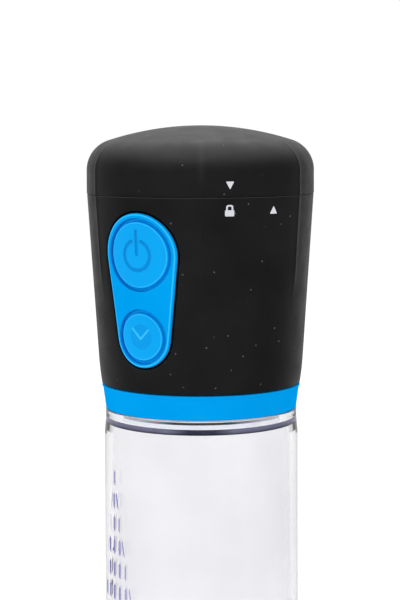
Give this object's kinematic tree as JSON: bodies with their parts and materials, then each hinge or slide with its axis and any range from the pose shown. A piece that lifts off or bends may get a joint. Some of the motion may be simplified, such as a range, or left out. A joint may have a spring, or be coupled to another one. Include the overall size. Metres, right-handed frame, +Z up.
{
  "type": "electric vacuum pump with clear cylinder",
  "caption": "Hand-held battery vacuum pump: black head with a blue keypad and twist-off battery cap on a clear open cylinder with a soft base sleeve.",
  "frame": {"origin": "middle of the base, on the surface it stands on", "axes": "+Z up along the cylinder's axis, front (between the keypad and the lock marks) faces -Y"},
  "size_m": [0.08, 0.08, 0.3],
  "materials": {
    "clear_plastic": "clear, polished",
    "black_rubber": "matte",
    "black_plastic": "satin soft-touch",
    "blue_plastic": "satin",
    "blue_rubber": "satin soft-touch",
    "silicone": "translucent",
    "grey_plastic": "moulded",
    "ivory_plastic": "moulded",
    "steel": "plated",
    "spring_steel": "nickel plated",
    "brass": "machined",
    "copper_windings": "copper windings on a steel core",
    "ferrite": "sintered",
    "cell_sleeve": "printed sleeve on a can",
    "circuit_board": "solder mask",
    "red_plastic": "wire jacket"
  },
  "bodies": {
    "cylinder_body": {"cylinder": "clear_plastic", "base_sleeve": "black_rubber"},
    "contact_carrier": {"contact_disc": "ivory_plastic", "contact_link_1": "brass", "contact_link_2": "brass"},
    "cap": {"battery_cap": "black_plastic", "carrier_screw": "steel"},
    "power_button": {"power_key": "blue_rubber"},
    "release_button": {"release_key": "blue_rubber"},
    "valve": {"valve_stem": "brass"},
    "motor_rotor": {"motor_armature": "copper_windings", "eccentric": "brass"},
    "rod": {"connecting_rod": "ivory_plastic"},
    "head": {"cap_seal": "black_rubber", "diaphragm": "black_rubber", "driver_chip": "black_rubber", "motor_wire_black": "black_rubber", "battery_wire_black": "black_rubber", "housing": "black_plastic", "base_plate": "black_plastic", "coupling_ring": "blue_plastic", "keypad_frame": "blue_plastic", "spigot_seal": "silicone", "valve_plate": "silicone", "suction_hose": "silicone", "battery_tray": "grey_plastic", "crankcase": "grey_plastic", "pump_head": "grey_plastic", "release_valve_body": "grey_plastic", "board_capacitor": "grey_plastic", "motor_end_bell": "ivory_plastic", "motor_can": "steel", "motor_clamp": "steel", "clamp_screw_1": "steel", "clamp_screw_2": "steel", "plate_screw_1": "steel", "plate_screw_2": "steel", "plate_screw_3": "steel", "power_switch": "steel", "valve_spring": "spring_steel", "contact_spring_1": "spring_steel", "contact_pad_2": "spring_steel", "contact_spring_3": "spring_steel", "contact_pad_4": "spring_steel", "motor_bearing": "brass", "motor_magnet_1": "ferrite", "motor_magnet_2": "ferrite", "cell_1": "cell_sleeve", "cell_2": "cell_sleeve", "cell_3": "cell_sleeve", "cell_4": "cell_sleeve", "control_board": "circuit_board", "motor_wire_red": "red_plastic", "battery_wire_red": "red_plastic"}
  },
  "joints": [
    {"name": "head_lift", "type": "slide", "parent": "cylinder_body", "child": "head", "axis": [0, 0, 1], "range_m": [0, 0.06]},
    {"name": "cap_lift", "type": "slide", "parent": "head", "child": "contact_carrier", "axis": [0, 0, 1], "range_m": [0, 0.06]},
    {"name": "cap_turn", "type": "hinge", "parent": "contact_carrier", "child": "cap", "pos_m": [0, 0, 0.293], "axis": [0, 0, 1], "range_deg": [0, 24]},
    {"name": "power_press", "type": "slide", "parent": "head", "child": "power_button", "axis": [0.5432, 0.8396, 0], "range_m": [0, 0.0008], "stiffness_N_per_m": 1500},
    {"name": "release_press", "type": "slide", "parent": "head", "child": "release_button", "axis": [0.5432, 0.8396, 0], "range_m": [0, 0.0012], "stiffness_N_per_m": 1200},
    {"name": "valve_open", "type": "slide", "parent": "head", "child": "valve", "axis": [0.5432, 0.8396, 0], "range_m": [0, 0.0012], "deforming": ["valve_spring"]},
    {"name": "motor_spin", "type": "hinge", "parent": "head", "child": "motor_rotor", "pos_m": [0.00217, 0.00336, 0.2265], "axis": [0.8396, -0.5432, 0], "continuous": true},
    {"name": "rod_swing", "type": "hinge", "parent": "motor_rotor", "child": "rod", "pos_m": [0.00679, 0.00037, 0.2275], "axis": [0.8396, -0.5432, 0], "continuous": true}
  ],
  "couplings": [
    {"joint": "valve_open", "follows": "release_press", "ratio": 1},
    {"joint": "rod_swing", "follows": "motor_spin", "ratio": -1}
  ]
}
